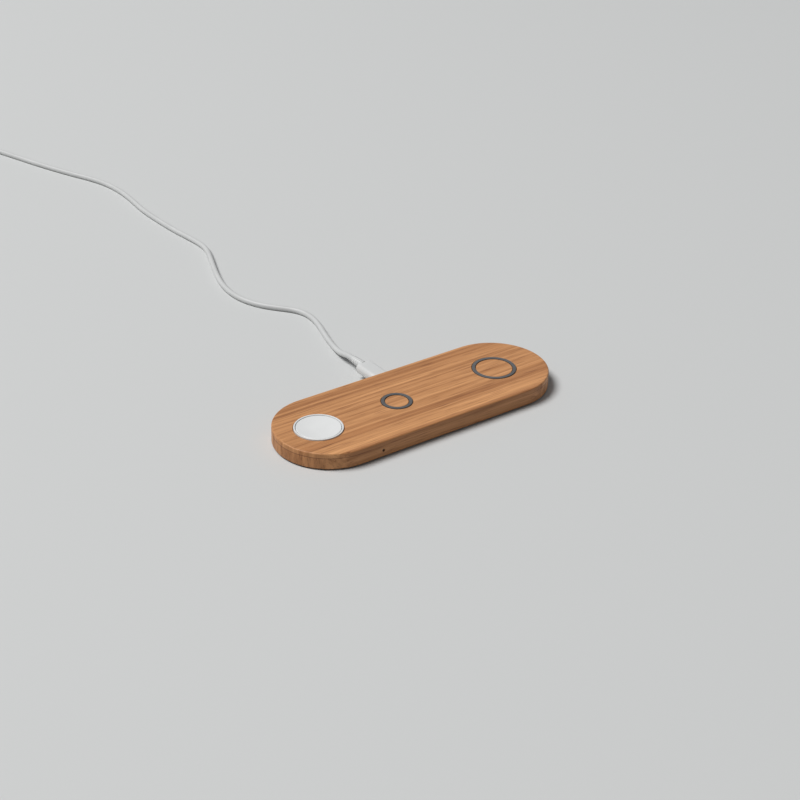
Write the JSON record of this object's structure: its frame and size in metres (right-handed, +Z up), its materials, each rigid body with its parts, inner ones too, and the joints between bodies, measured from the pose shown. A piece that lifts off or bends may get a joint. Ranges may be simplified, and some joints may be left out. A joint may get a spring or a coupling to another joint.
{
  "type": "wireless charging station",
  "caption": "Flat bamboo wireless charging slab with half-round ends, a watch puck let into its top, rubber feet below and a plug-in white USB lead.",
  "frame": {"origin": "on the table, under the middle of the slab", "axes": "+X along the slab, away from the watch puck; +Y to the back edge where the lead plugs in; +Z up"},
  "size_m": [0.1816, 0.5673, 0.0111],
  "materials": {
    "bamboo": "satin oiled bamboo",
    "base_plastic": "fine textured",
    "rubber": "matte",
    "screw_steel": "plated",
    "white_plastic": "satin moulded",
    "silicone": "matte",
    "copper": "enamelled wire",
    "ferrite": "matte",
    "magnet": "nickel plated",
    "circuit_board": "solder resist",
    "chip": "moulded",
    "ceramic": "matte",
    "lens": "clear",
    "connector_steel": "nickel plated",
    "insulator": "moulded",
    "white_cord": "soft extruded jacket"
  },
  "bodies": {
    "station": {"bamboo_body": "bamboo", "base_cover": "base_plastic", "base_screw_1": "screw_steel", "base_screw_2": "screw_steel", "base_screw_3": "screw_steel", "base_screw_4": "screw_steel", "base_screw_5": "screw_steel", "base_screw_6": "screw_steel", "foot_1": "rubber", "foot_2": "rubber", "foot_3": "rubber", "foot_4": "rubber", "phone_grip_ring": "silicone", "earbuds_grip_ring": "silicone", "watch_puck_shell": "white_plastic", "watch_puck_face": "white_plastic", "watch_coil": "copper", "watch_magnet": "magnet", "watch_ferrite": "ferrite", "watch_puck_board": "circuit_board", "watch_puck_lid": "white_plastic", "watch_coil_lead": "insulator", "earbuds_coil": "copper", "earbuds_ferrite": "ferrite", "earbuds_coil_lead": "insulator", "phone_coil": "copper", "phone_ferrite": "ferrite", "phone_coil_lead": "insulator", "main_board": "circuit_board", "board_screw_1": "screw_steel", "board_screw_2": "screw_steel", "board_screw_3": "screw_steel", "board_screw_4": "screw_steel", "controller_chip": "chip", "phone_driver_chip": "chip", "earbuds_driver_chip": "chip", "watch_driver_chip": "chip", "phone_capacitor": "ceramic", "earbuds_capacitor": "ceramic", "watch_capacitor": "ceramic", "power_inductor": "ferrite", "status_led": "lens", "light_pipe": "lens", "usb_c_socket": "connector_steel", "socket_tongue": "insulator"},
    "cord_set": {"usb_c_plug_shell": "connector_steel", "usb_c_plug_grip": "white_plastic", "usb_c_strain_relief": "white_plastic", "cord": "white_cord", "cord_coil": "white_cord", "cord_tail": "white_cord", "cord_tie": "silicone", "usb_a_strain_relief": "white_plastic", "usb_a_grip": "white_plastic", "usb_a_shell": "connector_steel", "usb_a_tongue": "white_plastic"}
  },
  "joints": [
    {"name": "plug_pull", "type": "slide", "parent": "station", "child": "cord_set", "axis": [0, 1, 0], "range_m": [0, 0.008]}
  ]
}
